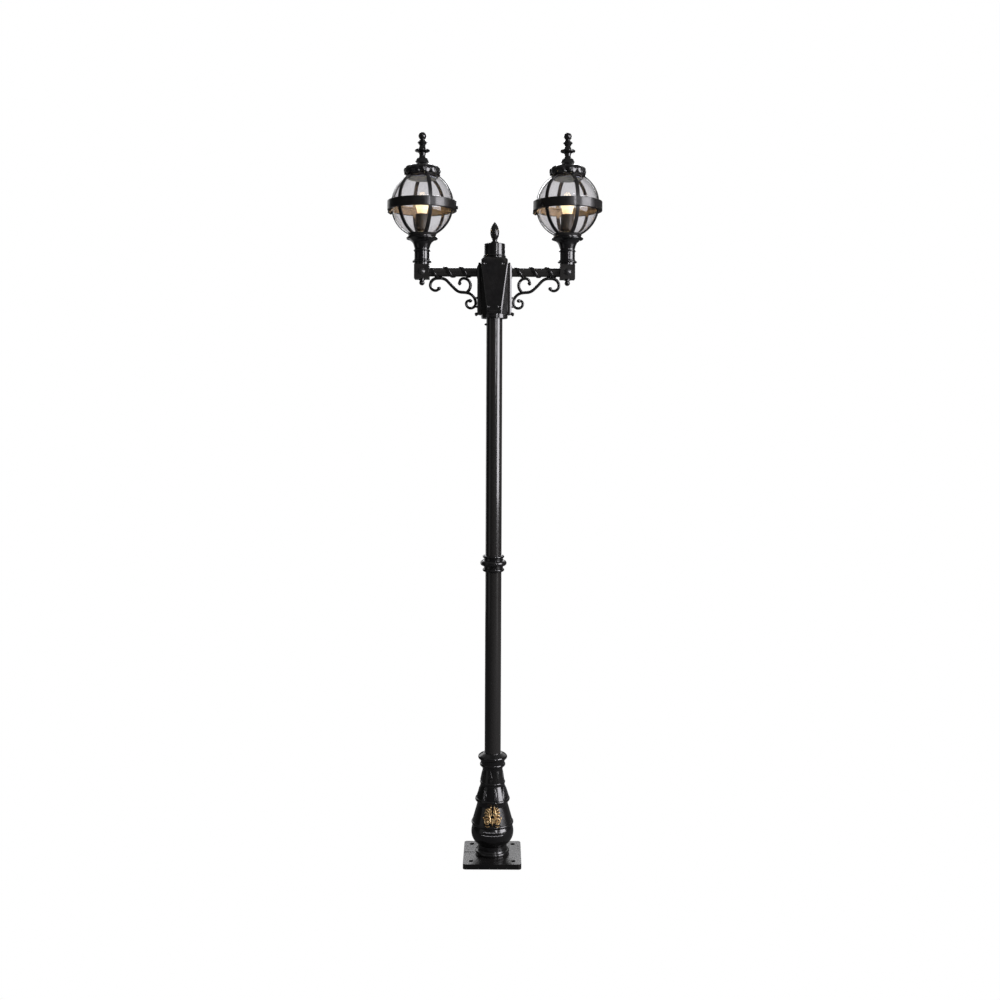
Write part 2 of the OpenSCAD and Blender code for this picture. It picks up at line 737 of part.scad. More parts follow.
// A cable for each lamp: up from the terminals, out through the arm and up the stem
module lamp_cables() color("#181818")
    for (side = [LEFT, RIGHT]) mirrored(side) {
        out = 15;
        low = column_top + 77;
        translate([out, 0, low]) cylinder(r = lamp_cable_r, h = arm_z - cable_bend - low);
        translate([out + cable_bend, 0, arm_z - cable_bend]) cable_elbow(90);
        translate([out + cable_bend, 0, arm_z]) along_x()
            cylinder(r = lamp_cable_r, h = arm_reach - 2 * cable_bend - out);
        translate([arm_reach - cable_bend, 0, arm_z + cable_bend]) cable_elbow(-90);
        translate([arm_reach, 0, arm_z + cable_bend])
            cylinder(r = lamp_cable_r, h = cage_z + 28 - arm_z - cable_bend);
    }

// Quarter turn of a lamp cable in the XZ plane, from the given angle onwards
module cable_elbow(from) rotate([90, 0, 0]) rotate([0, 0, from])
    rotate_extrude(angle = 90) translate([cable_bend, 0]) circle(lamp_cable_r);

// ---------- lanterns ----------

module stem(side) color("#1b1b1d") on_arm(side) difference() {
    rotate_extrude() {
        polygon([[0, stem_z], [36, stem_z], [36, stem_z + 56], [35.4, stem_z + 76],
            [41, stem_z + 95], [46, stem_z + 105], [57, stem_z + 114], [66, bowl_flange_z - 5],
            [66, cage_z], [0, cage_z]]);
        translate([0, flange_z - 4]) square([41, 8]);
        bead(45.5, flange_z, 4);
        bead(38.5, stem_z + 23, 3);
        bead(40, stem_bead_z, 4.5);
        bead(75, bowl_flange_z, 5);
        translate([0, bowl_flange_z - 5]) square([70, 10]);
    }
    translate([0, 0, stem_z - eps]) cylinder(r = stem_bore_r, h = cage_z - stem_z + 2 * eps);
}

// Spherical shell cut down to its upright ribs
module ribs(r, thickness) intersection() {
    difference() {
        sphere(r, $fn = 180);
        sphere(r - thickness, $fn = 180);
    }
    for (i = [0:rib_count / 2 - 1]) rotate([0, 0, i * 360 / rib_count])
        translate([-r, -rib_w / 2, -r]) cube([2 * r, rib_w, 2 * r]);
}

module lower_cage(side) color("#1b1b1d") on_arm(side) {
    inner = cage_r - rib_t;
    difference() {
        union() {
            intersection() {
                translate([0, 0, bowl_z]) ribs(cage_r, rib_t);
                translate([-200, -200, cage_z + 4]) cube([400, 400, ring_top_z - cage_z - 4]);
            }
            // Rim that the band closes over
            turned([[inner, band_low + 1], [cage_r, band_low + 1], [cage_r, ring_top_z],
                [inner, ring_top_z]]);
            // Ring that sits on the stem
            turned([[50, cage_z], [63, cage_z], [68.5, cage_z + 12], [66, cage_z + 14],
                [50, cage_z + 14]]);
            // Bracket and fixed knuckle of the lid's hinge
            translate([lid_axis_x, lid_knuckle_w / 2, lid_axis_z]) along_minus_y()
                cylinder(r = knuckle_r, h = lid_knuckle_w);
            translate([lid_axis_x, -lid_knuckle_w / 2, lid_axis_z - knuckle_r])
                cube([2.5 - inner - lid_axis_x, lid_knuckle_w, 8]);
        }
        lid_pin_hole();
    }
}

module lid_pin_hole() translate([lid_axis_x, 30, lid_axis_z]) along_minus_y()
    cylinder(r = lid_pin_r + pin_gap, h = 60);

module lower_glass(side) color([0.85, 0.85, 0.9, 0.35]) on_arm(side) {
    inner = glass_r - glass_t;
    difference() {
        union() {
            intersection() {
                translate([0, 0, bowl_z]) sphere(glass_r, $fn = 180);
                translate([-200, -200, cage_z + 15]) cube([400, 400, bowl_z - cage_z - 15 - 2]);
            }
        }
        translate([0, 0, bowl_z]) sphere(inner, $fn = 180);
    }
}

module lampholder(side) color("#4a4334") on_arm(side) turned([[5, cage_z], [24, cage_z],
    [24, cage_z + 8], [18, cage_z + 14], [18, cage_z + 22], [31, cage_z + 32],
    [31, cage_z + 105], [28.5, cage_z + 105], [28.5, cage_z + 46], [17, cage_z + 46],
    [17, cage_z + 78], [13.6, cage_z + 78], [13.6, cage_z + 40], [5, cage_z + 40]]);

module lamp(side) color("#fff3d0") on_arm(side) rotate_extrude() {
    polygon([[0, cage_z + 44], [8, cage_z + 44], [13.2, cage_z + 48], [13.2, cage_z + 79],
        [16, cage_z + 85], [26.5, cage_z + 130], [0, cage_z + 150]]);
    intersection() {
        translate([0, cage_z + 148]) circle(31);
        translate([0, cage_z + 100]) square([40, 100]);
    }
}

// The lid: ribs over the dome, the equatorial band, the top ring and the moving knuckles
module upper_cage(side) color("#1b1b1d") on_arm(side) {
    inner = cage_r - rib_t;
    difference() {
        union() {
            intersection() {
                translate([0, 0, dome_z]) ribs(cage_r, rib_t);
                translate([-200, -200, dome_z - eps]) cube([400, 400, crown_z - dome_z + eps]);
            }
            // Rim under the ribs, joined to the band
            turned([[inner, band_top - 9], [cage_r + 2, band_top - 9], [cage_r + 2, band_top - 1],
                [inner, band_top - 1]]);
            band();
            turned([[56, crown_z - 9], [78.5, crown_z - 9], [76, crown_z], [56, crown_z]]);
            for (y = [-1, 1]) translate([lid_axis_x, y * (lid_knuckle_w + 0.8), lid_axis_z])
                lid_knuckle();
        }
        lid_pin_hole();
        rotate([0, 0, catch_turn(side)]) translate([cage_r - 10, 0, catch_z]) along_x()
            cylinder(r = catch_r + pin_gap, h = 60);
    }
}

module band() rotate_extrude() {
    edge = 2;
    translate([band_bore_r, band_low + edge]) square([band_t, band_h - 2 * edge]);
    translate([band_bore_r, band_low]) square([band_t - edge, band_h]);
    for (z = [band_low + edge, band_top - edge]) translate([band_r - edge, z]) circle(edge);
}

// Moving knuckle of the lid's hinge, centred, joined up to the band
module lid_knuckle() translate([0, lid_knuckle_w / 2, 0]) {
    along_minus_y() cylinder(r = knuckle_r, h = lid_knuckle_w);
    translate([-3, -lid_knuckle_w, 0]) cube([8, lid_knuckle_w, 8]);
}

module upper_glass(side) color([0.85, 0.85, 0.9, 0.35]) on_arm(side) {
    inner = glass_r - glass_t;
    rim_z = lid_split_z;
    difference() {
        union() {
            intersection() {
                translate([0, 0, dome_z]) sphere(glass_r, $fn = 180);
                translate([-200, -200, dome_z]) cube([400, 400, crown_z - dome_z - 12]);
            }
            translate([0, 0, rim_z]) cylinder(r = glass_r, h = dome_z - rim_z);
        }
        translate([0, 0, dome_z]) sphere(inner, $fn = 180);
        translate([0, 0, rim_z - eps]) cylinder(r = inner, h = dome_z - rim_z + eps);
    }
}

module reflector(side) color("#d8d4cc") on_arm(side) turned([[0, crown_z - 19],
    [68, crown_z - 19], [68, crown_z - 16], [14, crown_z - 13], [14, crown_z], [0, crown_z]]);

module crown(side) color("#19191b") on_arm(side) {
    lobe_r = 16;
    ring_r = 88 - lobe_r;
    mid_z = crown_z + 17;
    rotate_extrude() {
        translate([0, crown_z]) square([76, 12]);
        polygon([[0, crown_z + 4], [72, crown_z + 4], [80, crown_z + 14], [80, crown_z + 24],
            [72, crown_z + 37], [36, crown_z + 54], [31, crown_z + 67], [27, crown_z + 76],
            [0, crown_z + 76]]);
    }
    for (i = [0:crown_lobes - 1]) rotate([0, 0, (i + 0.5) * 360 / crown_lobes])
        translate([ring_r, 0, mid_z]) sphere(lobe_r);
}

// Turned spike: necks between two discs, and a ball on top
module finial(side) color("#19191b") on_arm(side) {
    base = crown_z + 76;
    rotate_extrude() {
        polygon([[0, base], [18, base], [13.9, base + 14], [17, base + 26], [31, base + 34],
            [31, base + 42], [18, base + 48], [13, base + 61], [21, base + 73], [24, base + 76],
            [21, base + 79], [10.8, base + 90], [10.8, base + 100], [0, base + 112]]);
        bead(36, base + 38, 5);
        bead(14.5, base + 54, 2.5);
        intersection() {
            translate([0, base + 107]) circle(19);
            translate([0, base]) square([30, 200]);
        }
    }
}

// Where the catch sits round the band, from the point opposite the hinge
function catch_turn(side) = side == LEFT ? 0 : 50;

// Thumbscrew that nips the band to the rim
module catch_screw(side) color("#2a2a2d") on_arm(side) rotate([0, 0, catch_turn(side)])
    translate([cage_r + 0.9, 0, catch_z]) along_x() {
        cylinder(r = catch_r, h = band_t + 2);
        translate([0, 0, band_t + 0.6]) cylinder(r = 8.5, h = 7.5);
        translate([0, 0, band_t + 8]) dome_head(6, 2);
    }

module lid_hinge_pins() color("#8a8a8c")
    for (side = [LEFT, RIGHT]) on_arm(side)
        translate([lid_axis_x, lid_knuckle_w * 1.5 + 1.5, lid_axis_z]) along_minus_y()
            cylinder(r = lid_pin_r, h = lid_knuckle_w * 3 + 3);

base_plate();
base_pedestal();
crest_ornament();
access_door();
door_hinge_pins();
door_lock();
service_board();
fused_cutout();
earth_stud();
column_cable();
lower_tube();
joint_spigot();
column_collar();
upper_tube();
head_fixing_screw();
head_casing();
front_cover();
rear_cover();
cover_screws();
head_cap();
head_finial();
head_terminals();
backplate_bolts();
block_bolts();
pendant_nuts();
lamp_cables();
backplate(LEFT);  // left_backplate
arm_tube(LEFT);  // left_arm_tube
arm_ribbon(LEFT);  // left_arm_ribbon
scroll(LEFT);  // left_scroll
end_block(LEFT);  // left_end_block
backplate(RIGHT);  // right_backplate
arm_tube(RIGHT);  // right_arm_tube
arm_ribbon(RIGHT);  // right_arm_ribbon
scroll(RIGHT);  // right_scroll
end_block(RIGHT);  // right_end_block
stem(LEFT);  // left_stem
lower_cage(LEFT);  // left_lower_cage
lower_glass(LEFT);  // left_lower_glass
lampholder(LEFT);  // left_lampholder
lamp(LEFT);  // left_lamp
upper_cage(LEFT);  // left_upper_cage
upper_glass(LEFT);  // left_upper_glass
reflector(LEFT);  // left_reflector
crown(LEFT);  // left_crown
finial(LEFT);  // left_finial
catch_screw(LEFT);  // left_catch_screw
stem(RIGHT);  // right_stem
lower_cage(RIGHT);  // right_lower_cage
lower_glass(RIGHT);  // right_lower_glass
lampholder(RIGHT);  // right_lampholder
lamp(RIGHT);  // right_lamp
upper_cage(RIGHT);  // right_upper_cage
upper_glass(RIGHT);  // right_upper_glass
reflector(RIGHT);  // right_reflector
crown(RIGHT);  // right_crown
finial(RIGHT);  // right_finial
catch_screw(RIGHT);  // right_catch_screw
lid_hinge_pins();
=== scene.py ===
import json
import math

import bmesh
import bpy
from mathutils import Matrix, Vector

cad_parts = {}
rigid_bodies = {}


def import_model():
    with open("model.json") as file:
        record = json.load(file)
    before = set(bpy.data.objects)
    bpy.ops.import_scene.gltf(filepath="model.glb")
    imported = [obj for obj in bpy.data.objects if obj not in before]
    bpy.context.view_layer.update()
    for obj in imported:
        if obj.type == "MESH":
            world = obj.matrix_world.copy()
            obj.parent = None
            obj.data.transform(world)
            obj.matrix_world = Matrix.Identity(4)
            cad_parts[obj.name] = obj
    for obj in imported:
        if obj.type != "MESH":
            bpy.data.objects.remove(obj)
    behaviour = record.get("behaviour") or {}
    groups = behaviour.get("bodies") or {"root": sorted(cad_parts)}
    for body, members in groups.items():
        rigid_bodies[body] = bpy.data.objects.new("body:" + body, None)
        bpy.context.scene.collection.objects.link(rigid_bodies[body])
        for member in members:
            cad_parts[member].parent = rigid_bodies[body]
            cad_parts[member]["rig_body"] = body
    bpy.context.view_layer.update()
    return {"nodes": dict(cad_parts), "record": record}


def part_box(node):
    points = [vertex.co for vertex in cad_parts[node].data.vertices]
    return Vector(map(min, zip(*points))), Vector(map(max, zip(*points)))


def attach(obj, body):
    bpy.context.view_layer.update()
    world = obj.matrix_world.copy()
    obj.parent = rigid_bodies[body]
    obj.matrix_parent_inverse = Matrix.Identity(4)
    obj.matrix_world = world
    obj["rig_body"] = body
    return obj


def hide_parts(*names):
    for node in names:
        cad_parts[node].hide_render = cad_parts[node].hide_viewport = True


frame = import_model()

# Looks of the twin-head globe lamp post. Metres, +Z up, front towards -Y, arms along X.
nodes = frame["nodes"]
MM = 0.001
SIDES = {"left": -1, "right": 1}
TURN = {"left": math.radians(-11), "right": math.radians(-14.5)}     # of the lanterns, as in the CAD


def middle(node):
    lo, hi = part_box(node)
    return (lo + hi) / 2


ARM_Z = middle("left_arm_tube").z
ARM_R = (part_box("left_arm_tube")[1].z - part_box("left_arm_tube")[0].z) / 2
LANTERN_X = {side: middle(side + "_stem").x for side in SIDES}


# ---------- camera, floor and light ----------

def add_camera():
    """A level camera a little above the middle of the column, rolled a little."""
    data = bpy.data.cameras.new("camera")
    data.sensor_width = 36
    data.lens = 39.16
    data.shift_y = -0.0967
    data.clip_end = 60
    camera = bpy.data.objects.new("camera", data)
    roll = math.radians(0.23)
    camera.matrix_world = (
        Matrix.Translation((0.028, -5.135, 2.144))
        @ Matrix.Rotation(math.radians(90), 4, "X")
        @ Matrix.Rotation(roll, 4, "Z")
    )
    bpy.context.scene.collection.objects.link(camera)
    bpy.context.scene.camera = camera


def add_softbox(name, azimuth, distance, z, width, height, radiance, colour=(1, 1, 1), aim_z=None):
    """A soft light. Azimuth is degrees to the right of the camera, seen from the post."""
    data = bpy.data.lights.new(name, "AREA")
    data.shape = "RECTANGLE"
    data.size = width
    data.size_y = height
    data.energy = radiance * math.pi * width * height
    data.color = colour
    lamp = bpy.data.objects.new(name, data)
    a = math.radians(azimuth)
    place = Vector((math.sin(a) * distance, -math.cos(a) * distance, z))
    aim = Vector((0, 0, z if aim_z is None else aim_z))
    look = (aim - place).to_track_quat("-Z", "Y").to_matrix().to_4x4()
    lamp.matrix_world = Matrix.Translation(place) @ look
    lamp.visible_camera = False
    lamp.visible_transmission = False
    bpy.context.scene.collection.objects.link(lamp)


class Tree:
    """Short-hand for building a node tree."""

    def __init__(self, owner, keep=False):
        owner.use_nodes = True
        self.tree = owner.node_tree
        if not keep:
            self.tree.nodes.clear()

    def add(self, kind, inputs=None, **settings):
        """A node, with its inputs set to values or linked to sockets."""
        node = self.tree.nodes.new(kind)
        for key, value in settings.items():
            setattr(node, key, value)
        for key, value in (inputs or {}).items():
            if isinstance(value, bpy.types.NodeSocket):
                self.tree.links.new(value, node.inputs[key])
            else:
                node.inputs[key].default_value = value
        return node

    def math(self, operation, a, b=None):
        inputs = {0: a} if b is None else {0: a, 1: b}
        return self.add("ShaderNodeMath", inputs, operation=operation).outputs[0]

    def seen_directly(self):
        """1 for rays straight from the camera, also through glass, and 0 once they have bounced off."""
        path = self.add("ShaderNodeLightPath").outputs
        bounces = self.math("ADD", path["Diffuse Depth"], path["Glossy Depth"])
        straight = self.math("LESS_THAN", bounces, 0.5)
        through = self.math("MULTIPLY", path["Is Transmission Ray"], straight)
        return self.math("MAXIMUM", path["Is Camera Ray"], through)


def ramp(t, value, low, high, to_low, to_high):
    return t.add("ShaderNodeMapRange", {"Value": value, "From Min": low, "From Max": high,
                 "To Min": to_low, "To Max": to_high}).outputs[0]


def set_world():
    world = bpy.data.worlds.new("studio")
    t = Tree(world)
    direction = t.add("ShaderNodeTexCoord").outputs["Generated"]
    parts = t.add("ShaderNodeSeparateXYZ", {0: direction}).outputs
    # A dim studio, with a white backdrop high up behind the post
    backdrop = ramp(t, parts["Y"], 0.55, 0.9, 0.0, 0.75)
    high = ramp(t, parts["Z"], 0.2, 0.34, 0.08, 1.0)
    backdrop = t.math("ADD", t.math("MULTIPLY", backdrop, high), 0.03)
    studio = t.math("ADD", backdrop, ramp(t, parts["Z"], 0.2, 1.0, 0.0, 0.14))
    value = t.add("ShaderNodeMix", {0: t.seen_directly(), 2: studio, 3: 1.0}, data_type="FLOAT")
    shade = t.add("ShaderNodeBackground", {"Color": value.outputs[0], "Strength": 1.0})
    t.add("ShaderNodeOutputWorld", {"Surface": shade.outputs[0]})
    bpy.context.scene.world = world


def add_floor():
    mesh = bpy.data.meshes.new("floor")
    size = 25
    corners = [(-size, -size, 0), (size, -size, 0), (size, size, 0), (-size, size, 0)]
    mesh.from_pydata(corners, [], [(0, 1, 2, 3)])
    floor = bpy.data.objects.new("floor", mesh)
    bpy.context.scene.collection.objects.link(floor)
    material = bpy.data.materials.new("floor_paper")
    t = Tree(material)
    bright = t.add("ShaderNodeEmission", {"Color": (1, 1, 1, 1), "Strength": 1.0})
    dim = t.add("ShaderNodeBsdfDiffuse", {"Color": (0.12, 0.12, 0.12, 1)})
    surface = t.add("ShaderNodeMixShader", {0: t.seen_directly(), 1: dim.outputs[0], 2: bright.outputs[0]})
    t.add("ShaderNodeOutputMaterial", {"Surface": surface.outputs[0]})
    mesh.materials.append(material)


COOL_WHITE = (0.97, 0.95, 1.0)

add_camera()
set_world()
add_floor()
# Name, azimuth, distance, height, width, height of the box, radiance
add_softbox("key", 63, 6.0, 3.3, 3.5, 4.3, 9.5, COOL_WHITE)
add_softbox("edge_strip", 24, 6.0, 4.3, 0.4, 3.8, 19, COOL_WHITE)
add_softbox("back_light", 180, 6.0, 5.0, 3.0, 3.0, 6, (0.97, 0.97, 1.0), 2.0)
add_softbox("back_fill", 215, 6.0, 2.2, 3.0, 4.4, 0.8)
add_softbox("left_fill", -62, 5.0, 1.8, 2.4, 3.4, 0.2)
add_softbox("low_fill", 60, 5.0, 0.6, 2.2, 1.5, 0.35)
bpy.context.scene.view_settings.view_transform = "Standard"


# ---------- materials ----------

def noise(t, where, scale, detail=4.0, rough=0.55):
    node = t.add("ShaderNodeTexNoise", {"Vector": where, "Scale": scale, "Detail": detail,
                 "Roughness": rough})
    return node.outputs[0]


def mix_colour(t, factor, a, b):
    """Goes from colour a to colour b. Either can be a socket or three numbers."""
    node = t.add("ShaderNodeMix", data_type="RGBA")
    for key, value in ((0, factor), (6, a), (7, b)):
        if isinstance(value, bpy.types.NodeSocket):
            t.tree.links.new(value, node.inputs[key])
        else:
            node.inputs[key].default_value = value if key == 0 else (*value, 1)
    return node.outputs[2]


DARK_WEAR = (0.035, 0.033, 0.031)


def painted(name, base, dust, rough=(0.2, 0.36), grain=0.08, coat=0.5, metallic=0.0, wear=DARK_WEAR):
    """Paint on metal: a slightly uneven coat, fine grain, and rubbed edges."""
    material = bpy.data.materials.new(name)
    t = Tree(material)
    where = t.add("ShaderNodeTexCoord").outputs["Object"]
    broad = noise(t, where, 9.0)
    fine = noise(t, where, 300.0, 2.0)
    lumps = noise(t, where, 38.0, 3.0)
    tint = mix_colour(t, ramp(t, broad, 0.35, 0.72, 0, 1), base, dust)
    edge = ramp(t, t.add("ShaderNodeNewGeometry").outputs["Pointiness"], 0.53, 0.62, 0, 0.55)
    tint = mix_colour(t, edge, tint, wear)
    shine = ramp(t, lumps, 0.3, 0.7, rough[0], rough[1])
    height = t.math("ADD", t.math("MULTIPLY", lumps, 2.0), fine)
    bump = t.add("ShaderNodeBump", {"Strength": grain, "Distance": 0.0005, "Height": height})
    shader = t.add("ShaderNodeBsdfPrincipled", {"Base Color": tint, "Roughness": shine,
                   "Normal": bump.outputs[0], "Coat Weight": coat, "Coat Roughness": 0.09,
                   "Metallic": metallic})
    t.add("ShaderNodeOutputMaterial", {"Surface": shader.outputs[0]})
    return material


def cage_paint(name, side):
    """Black cast paint, with painted lamp light on the faces turned towards the lamp: a warm glow on the band
    and a dim one on the ribs.
    """
    band_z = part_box(side + "_lower_cage")[1].z
    globe_z = 3.08
    material = painted(name, (0.008, 0.0075, 0.0075), (0.013, 0.012, 0.011), rough=(0.26, 0.4), coat=0.3)
    t = Tree(material, keep=True)
    coords = t.add("ShaderNodeTexCoord")
    radial = t.add("ShaderNodeVectorMath", {0: coords.outputs["Object"], 1: (LANTERN_X[side], 0, globe_z)},
                   operation="SUBTRACT")
    unit = t.add("ShaderNodeVectorMath", {0: radial.outputs[0]}, operation="NORMALIZE")
    facing = t.add("ShaderNodeVectorMath", {0: unit.outputs[0], 1: coords.outputs["Normal"]},
                   operation="DOT_PRODUCT")
    # Painted lamp light: the faces turned towards the lamp are lightened
    painted_lamp_light_mask = ramp(t, facing.outputs["Value"], -0.3, -0.7, 0, 1)
    shader = next(n for n in t.tree.nodes if n.type == "BSDF_PRINCIPLED")
    outside = shader.inputs["Base Color"].links[0].from_socket
    z = t.add("ShaderNodeSeparateXYZ", {0: coords.outputs["Object"]}).outputs[2]
    from_band = t.math("ABSOLUTE", t.math("SUBTRACT", z, band_z))
    # The painted lamp light is warm and bright at the band's height and dim on the ribs away from it
    painted_lamp_light = mix_colour(t, ramp(t, from_band, 0.026, 0.036, 0, 1), (0.50, 0.36, 0.22), (0.060, 0.048, 0.042))
    t.tree.links.new(mix_colour(t, painted_lamp_light_mask, outside, painted_lamp_light), shader.inputs["Base Color"])
    return material


def clear_glass():
    """Slightly smoked glass with a faint haze, which lets light through to what is behind it."""
    material = bpy.data.materials.new("clear_glass")
    t = Tree(material)
    where = t.add("ShaderNodeTexCoord").outputs["Object"]
    smoke = mix_colour(t, ramp(t, noise(t, where, 11.0), 0.35, 0.7, 0, 1),
                       (0.825, 0.818, 0.833), (0.77, 0.76, 0.775))
    waves = noise(t, where, 9.0, 1.0)
    bump = t.add("ShaderNodeBump", {"Strength": 0.04, "Distance": 0.004, "Height": waves})
    haze = ramp(t, noise(t, where, 40.0), 0.4, 0.75, 0.01, 0.07)
    glass = t.add("ShaderNodeBsdfPrincipled", {"Base Color": smoke, "Roughness": haze,
                  "Normal": bump.outputs[0], "Transmission Weight": 1.0, "IOR": 1.45})
    clear = t.add("ShaderNodeBsdfTransparent", {"Color": (0.9, 0.9, 0.9, 1)})
    shadow = t.add("ShaderNodeLightPath").outputs["Is Shadow Ray"]
    surface = t.add("ShaderNodeMixShader", {0: shadow, 1: glass.outputs[0], 2: clear.outputs[0]})
    t.add("ShaderNodeOutputMaterial", {"Surface": surface.outputs[0]})
    return material


def lamp_glass():
    """Opal bulb that glows warm white, fading to amber towards its neck."""
    material = bpy.data.materials.new("lamp_glass")
    t = Tree(material)
    where = t.add("ShaderNodeTexCoord").outputs["Object"]
    z = t.add("ShaderNodeSeparateXYZ", {0: where}).outputs[2]
    low, high = (corner.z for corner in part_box("left_lamp"))
    rise = ramp(t, z, low, low + 0.7 * (high - low), 0, 1)
    cloud = ramp(t, noise(t, where, 45.0), 0.3, 0.7, 0.85, 1.15)
    colour = mix_colour(t, rise, (1.0, 0.50, 0.13), (1.0, 0.86, 0.52))
    seen = t.math("MULTIPLY", ramp(t, rise, 0, 1, 0.6, 1.4), cloud)
    # The bulb lights its surroundings more strongly than it can be shown
    strength = t.add("ShaderNodeMix", {0: t.seen_directly(), 2: 9.0, 3: seen}, data_type="FLOAT")
    shader = t.add("ShaderNodeBsdfPrincipled", {"Base Color": (0.9, 0.8, 0.6, 1), "Roughness": 0.3,
                   "Emission Color": colour, "Emission Strength": strength.outputs[0]})
    t.add("ShaderNodeOutputMaterial", {"Surface": shader.outputs[0]})
    return material


def gilt_paint():
    """Gold paint in uneven patches, with painted shade darkening it in the recesses."""
    material = bpy.data.materials.new("gilt")
    t = Tree(material)
    where = t.add("ShaderNodeTexCoord").outputs["Object"]
    patch = ramp(t, noise(t, where, 130.0, 5.0), 0.38, 0.66, 0, 1)
    tint = mix_colour(t, patch, (0.50, 0.27, 0.08), (1.0, 0.80, 0.46))
    # Painted shade: the recesses turn almost black, while the high places keep the gold
    high = ramp(t, t.add("ShaderNodeNewGeometry").outputs["Pointiness"], 0.47, 0.56, 0, 1)
    tint = mix_colour(t, high, (0.09, 0.04, 0.012), tint)
    bump = t.add("ShaderNodeBump", {"Strength": 0.4, "Distance": 0.0005,
                 "Height": noise(t, where, 500.0, 3.0)})
    shader = t.add("ShaderNodeBsdfPrincipled", {"Base Color": tint, "Roughness": 0.3, "Metallic": 0.6,
                   "Normal": bump.outputs[0]})
    t.add("ShaderNodeOutputMaterial", {"Surface": shader.outputs[0]})
    return material


BLACK, BLACK_DUST = (0.006, 0.006, 0.0065), (0.011, 0.0105, 0.010)
# Base colour, colour of the uneven patches, and what differs from plain paint
PAINTS = {
    "cast_black": (BLACK, BLACK_DUST, {"rough": (0.15, 0.27), "grain": 0.06}),
    "plate_black": (BLACK, BLACK_DUST, {"coat": 0.12}),
    "tube_black": (BLACK, (0.010, 0.0098, 0.009), {"rough": (0.15, 0.2), "grain": 0.04}),
    "black_steel": ((0.015, 0.015, 0.016), (0.03, 0.029, 0.027), {"rough": (0.25, 0.4), "grain": 0.2}),
    "bronze": ((0.12, 0.088, 0.05), (0.075, 0.058, 0.036), {"rough": (0.35, 0.5), "coat": 0.1}),
    # Pale enamel; on the pearls it is a painted highlight
    "white_enamel": ((0.46, 0.46, 0.47), (0.40, 0.40, 0.41),
                     {"rough": (0.25, 0.4), "grain": 0.15, "wear": (0.8, 0.78, 0.75)}),
    "reflector_enamel": ((0.40, 0.44, 0.52), (0.35, 0.385, 0.455), {"rough": (0.25, 0.4), "grain": 0.1}),
    "steel": ((0.45, 0.45, 0.46), (0.33, 0.33, 0.34),
              {"rough": (0.25, 0.45), "grain": 0.3, "coat": 0.0, "metallic": 1.0, "wear": (0.6, 0.6, 0.6)}),
    "brass": ((0.70, 0.52, 0.22), (0.50, 0.36, 0.15),
              {"rough": (0.25, 0.4), "grain": 0.2, "coat": 0.0, "metallic": 1.0, "wear": (0.85, 0.68, 0.35)}),
    "board": ((0.25, 0.13, 0.06), (0.19, 0.10, 0.05),
              {"rough": (0.5, 0.65), "coat": 0.0, "wear": (0.32, 0.19, 0.10)}),
    "black_plastic": ((0.03, 0.03, 0.032), (0.045, 0.045, 0.045), {"rough": (0.4, 0.55), "coat": 0.0}),
    "cable": ((0.016, 0.016, 0.016), (0.03, 0.03, 0.028), {"rough": (0.5, 0.65), "coat": 0.0}),
}
MATERIALS = {name: painted(name, base, dust, **extra) for name, (base, dust, extra) in PAINTS.items()}
MATERIALS.update(gilt=gilt_paint(), clear_glass=clear_glass(), lamp_glass=lamp_glass())
CAGES = {side: cage_paint(side + "_cage_paint", side) for side in SIDES}
SLOTS = {part["node"]: part["material_slot"] for part in frame["record"]["subparts"]}


def material_of(node):
    side, _, part = node.partition("_")
    if part in ("lower_cage", "upper_cage"):
        return CAGES[side]
    if node == "base_plate":
        return MATERIALS["plate_black"]
    if part == "reflector":
        return MATERIALS["reflector_enamel"]
    return MATERIALS[SLOTS[node]]


for name, node in nodes.items():
    node.data.materials.clear()
    node.data.materials.append(material_of(name))


# ---------- mesh helpers ----------

BROAD_FACE = 7 * MM     # a face this wide is flat, the narrower ones are smooth


def add_piece(name, mesh_from, body, slot, material=None, crease=None):
    """A new object from a bmesh or a Shape, riding on a body. Edges over crease degrees stay sharp."""
    bm = mesh_from.build() if isinstance(mesh_from, Shape) else mesh_from
    bmesh.ops.recalc_face_normals(bm, faces=bm.faces)
    mesh = bpy.data.meshes.new(name)
    for face in bm.faces:
        width = face.calc_area() / max(e.calc_length() for e in face.edges)
        face.smooth = not (crease and width > BROAD_FACE)
    if crease:
        for edge in bm.edges:
            edge.smooth = len(edge.link_faces) == 2 and edge.calc_face_angle(0) < math.radians(crease)
    bm.to_mesh(mesh)
    bm.free()
    mesh.materials.append(material or MATERIALS[slot])
    piece = bpy.data.objects.new(name, mesh)
    bpy.context.scene.collection.objects.link(piece)
    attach(piece, body)
    return piece


class Shape:
    """Collects closed shells made of rings of points."""

    def __init__(self):
        self.points = []
        self.faces = []

    def loft(self, rings, loop=False):
        """A skin over rings with equal numbers of points, capped at both ends or closed on itself."""
        count = len(rings[0])
        base = len(self.points)
        for ring in rings:
            self.points.extend(ring)
        total = len(rings)
        for i in range(total if loop else total - 1):
            for j in range(count):
                a, b = base + i * count, base + (i + 1) % total * count
                k = (j + 1) % count
                self.faces.append((a + j, a + k, b + k, b + j))
        if not loop:
            self.faces.append(tuple(base + j for j in reversed(range(count))))
            self.faces.append(tuple(base + (total - 1) * count + j for j in range(count)))

    def build(self):
        bm = bmesh.new()
        verts = [bm.verts.new(p) for p in self.points]
        for face in self.faces:
            bm.faces.new([verts[i] for i in face])
        return bm


def superellipse(half_w, half_d, count=16, power=2.8):
    """Points round a rounded rectangle, the section of a forged bar."""
    ring = []
    for k in range(count):
        c, s = math.cos(2 * math.pi * k / count), math.sin(2 * math.pi * k / count)
        ring.append((half_w * math.copysign(abs(c) ** (2 / power), c),
                     half_d * math.copysign(abs(s) ** (2 / power), s)))
    return ring


BAR_STEP = 2.5 * MM     # between the rings of a bar


